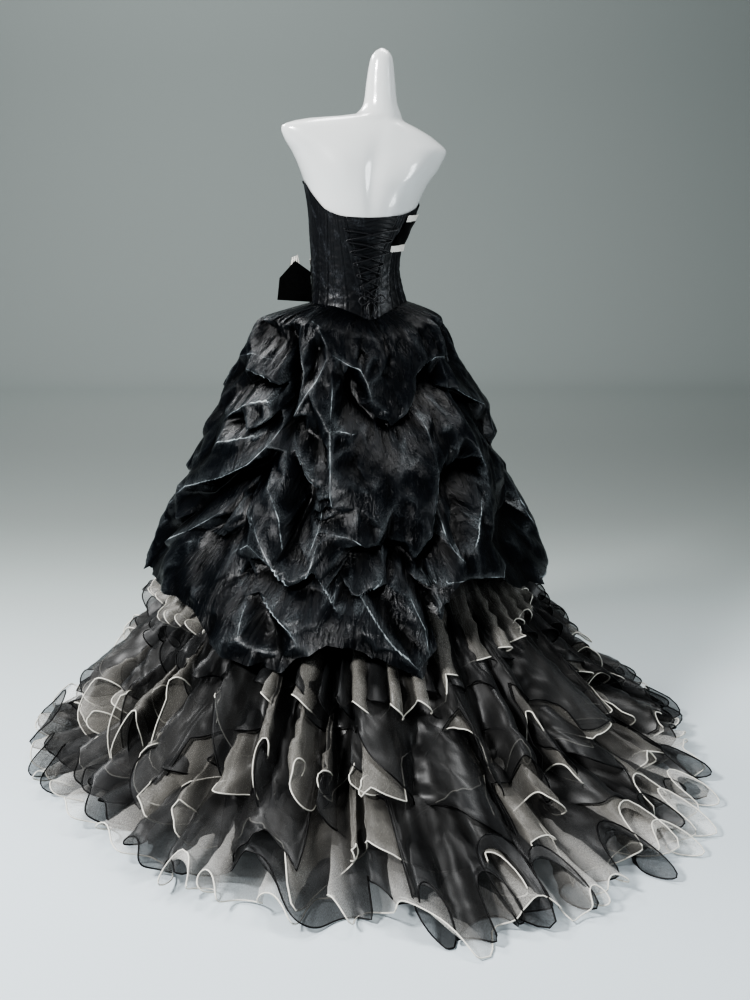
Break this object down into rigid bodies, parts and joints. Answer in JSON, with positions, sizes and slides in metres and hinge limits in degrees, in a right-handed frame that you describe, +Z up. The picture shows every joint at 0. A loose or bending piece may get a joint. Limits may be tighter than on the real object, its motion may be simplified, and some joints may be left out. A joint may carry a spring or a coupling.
{
  "type": "quinceanera dress on a limbless dress form",
  "caption": "Black strapless corset-back ballgown with a picked-up satin overskirt, tiered black and ivory organza ruffles and a short train, on a white limbless dress form with a round stand",
  "frame": {"origin": "middle of the underside of the dress form's round foot, on the floor", "axes": "+Z up, -Y towards the front of the gown, +Y towards its back and train, +X towards the wearer's left"},
  "size_m": [1.645, 1.8324, 1.645],
  "materials": {
    "bodice": "black satin with a soft sheen, boned and laced",
    "crushed_satin": "crushed black satin with streaky grey highlights",
    "velvet": "deep black velvet",
    "black_organza": "sheer black organza with rolled cord hems",
    "ivory_organza": "sheer ivory organza with a satin gleam",
    "ivory_tulle": "faint ivory tulle",
    "lace_cord": "matt black satin lacing cord",
    "form_gloss": "glossy white lacquer",
    "stand_steel": "brushed steel pole and foot"
  },
  "bodies": {
    "root": {"bodice_back_left": "bodice", "bodice_back_right": "bodice", "bodice_front": "bodice", "bodice_modesty": "bodice", "bodice_side_left": "bodice", "bodice_side_right": "bodice", "floor_ruffle_black": "black_organza", "flounce_black_lower": "black_organza", "flounce_black_middle": "black_organza", "flounce_black_upper": "black_organza", "ruffle_black_short": "black_organza", "underskirt_back_left": "black_organza", "underskirt_back_right": "black_organza", "underskirt_front_left": "black_organza", "underskirt_front_right": "black_organza", "underskirt_left_back": "black_organza", "underskirt_left_front": "black_organza", "underskirt_right_back": "black_organza", "underskirt_right_front": "black_organza", "flounce_ivory_lower": "ivory_organza", "flounce_ivory_middle": "ivory_organza", "flounce_ivory_upper": "ivory_organza", "ruffle_ivory_short": "ivory_organza", "sash_edging_bottom": "ivory_organza", "sash_edging_top": "ivory_organza", "sash_tail_tip": "ivory_organza", "floor_tulle_ivory": "ivory_tulle", "overskirt_back_centre": "crushed_satin", "overskirt_back_left": "crushed_satin", "overskirt_back_right": "crushed_satin", "overskirt_front": "crushed_satin", "overskirt_side_left": "crushed_satin", "overskirt_side_right": "crushed_satin", "sash_band": "velvet", "sash_tail": "velvet", "lace_bow": "lace_cord", "lace_end_left": "lace_cord", "lace_end_right": "lace_cord", "lace_over": "lace_cord", "lace_under": "lace_cord", "form_torso": "form_gloss", "form_base": "stand_steel", "form_pole": "stand_steel"}
  },
  "joints": []
}
